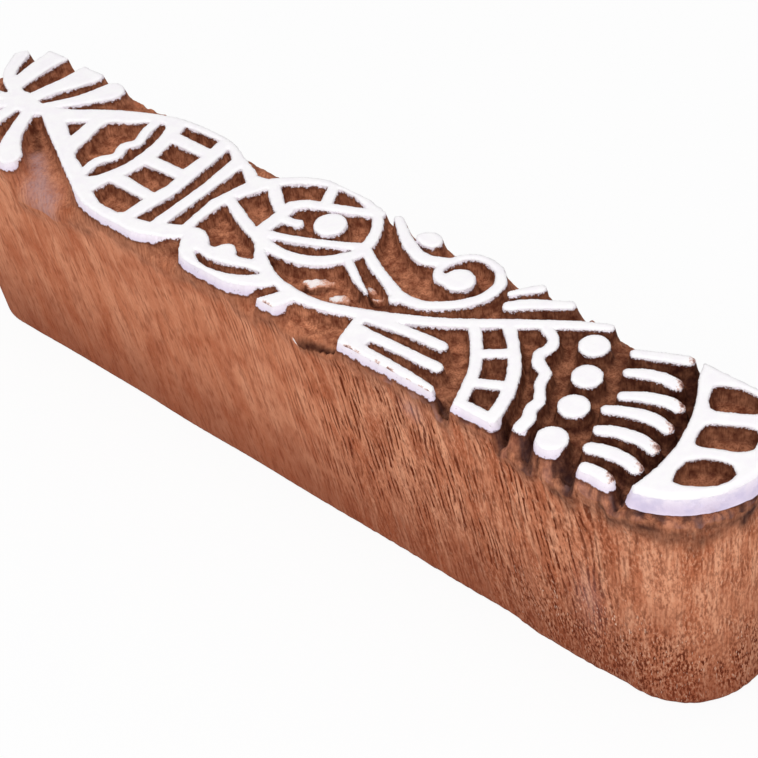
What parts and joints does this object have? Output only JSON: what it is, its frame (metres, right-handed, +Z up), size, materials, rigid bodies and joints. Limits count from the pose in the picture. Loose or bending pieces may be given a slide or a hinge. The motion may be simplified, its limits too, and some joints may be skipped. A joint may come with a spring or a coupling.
{
  "type": "wooden textile printing block",
  "caption": "Long hand-carved wooden printing block with rounded ends; a dancing folk figure stands in relief on its face, the raised lines coated white, for stamping dye on cloth.",
  "frame": {"origin": "middle of the overall outline, on the flat back that the block rests on", "axes": "+X along the block towards the figure's hem, +Y across it to the far side, +Z up from the flat back to the carved face"},
  "size_m": [0.154, 0.0264, 0.0375],
  "materials": {
    "wood": "bare, dry, hand-cut",
    "coat": "matt white water-based coat, chalky"
  },
  "bodies": {
    "root": {"block": "wood", "hat_coat": "coat", "plume_coat": "coat", "collar_coat": "coat", "face_coat": "coat", "eye_coat": "coat", "arm_coat": "coat", "lip_coat": "coat", "chin_coat": "coat", "leaf_coat": "coat", "scroll_coat": "coat", "oval_coat": "coat", "hand_coat": "coat", "ladder_coat": "coat", "wave_coat": "coat", "slash_1_coat": "coat", "slash_2_coat": "coat", "dot_1_coat": "coat", "dot_2_coat": "coat", "dot_3_coat": "coat", "dot_4_coat": "coat", "bar_1_coat": "coat", "bar_2_coat": "coat", "bar_3_coat": "coat", "bar_4_coat": "coat", "bar_5_coat": "coat", "bar_6_coat": "coat", "bar_7_coat": "coat", "hem_coat": "coat"}
  },
  "joints": []
}
